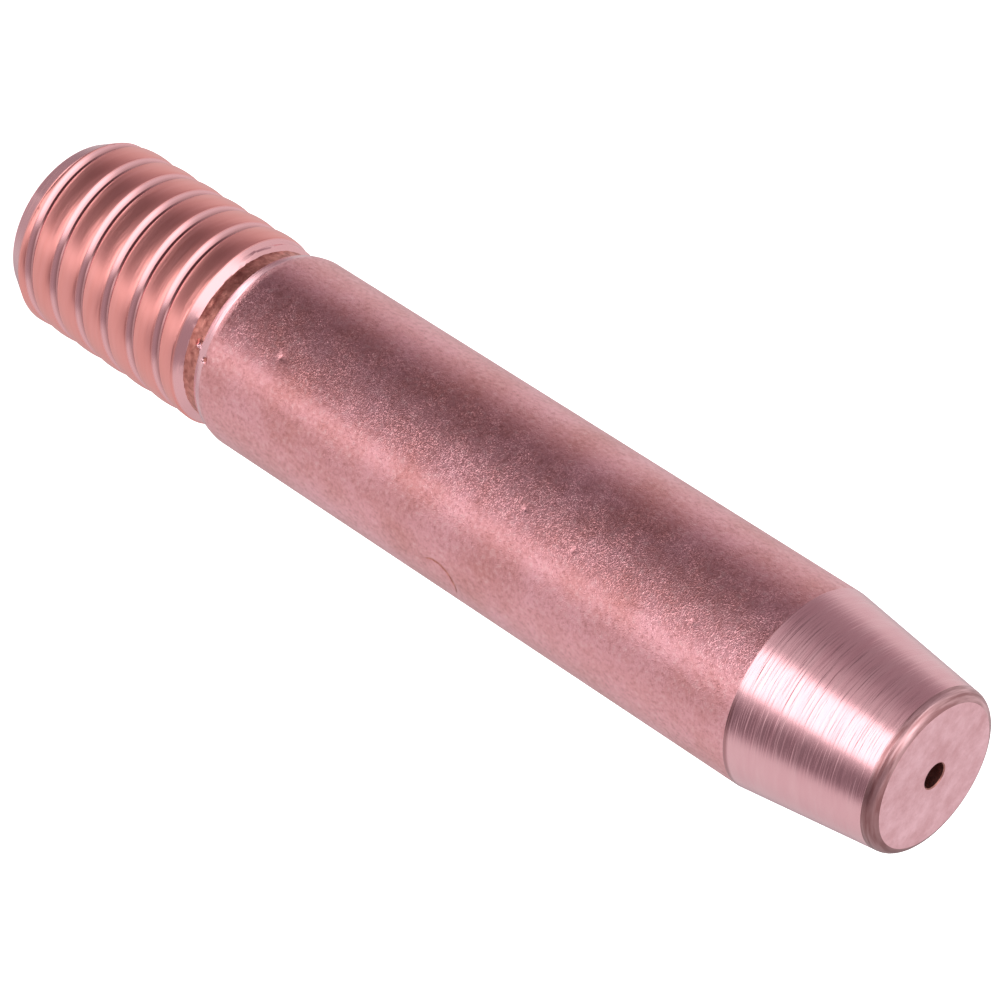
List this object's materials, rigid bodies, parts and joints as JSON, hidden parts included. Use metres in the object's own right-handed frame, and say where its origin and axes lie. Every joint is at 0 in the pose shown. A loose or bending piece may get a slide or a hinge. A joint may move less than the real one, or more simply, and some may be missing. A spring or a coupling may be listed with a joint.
{
  "type": "welding contact tip",
  "caption": "Slim round copper contact tip for wire welding, with a threaded end, a plain body, a tapered flat nose and a fine wire bore right through.",
  "frame": {"origin": "centre of the flat threaded end, on the bore's axis", "axes": "+Z along the bore from the threaded end to the nose, -Y to the side that the picture shows, X across it"},
  "size_m": [0.0078, 0.0078, 0.0433],
  "materials": {
    "copper": "bare copper, drawn satin on the body, rolled smooth on the thread and turned bright on the nose"
  },
  "bodies": {
    "root": {"contact_tip": "copper"}
  },
  "joints": []
}
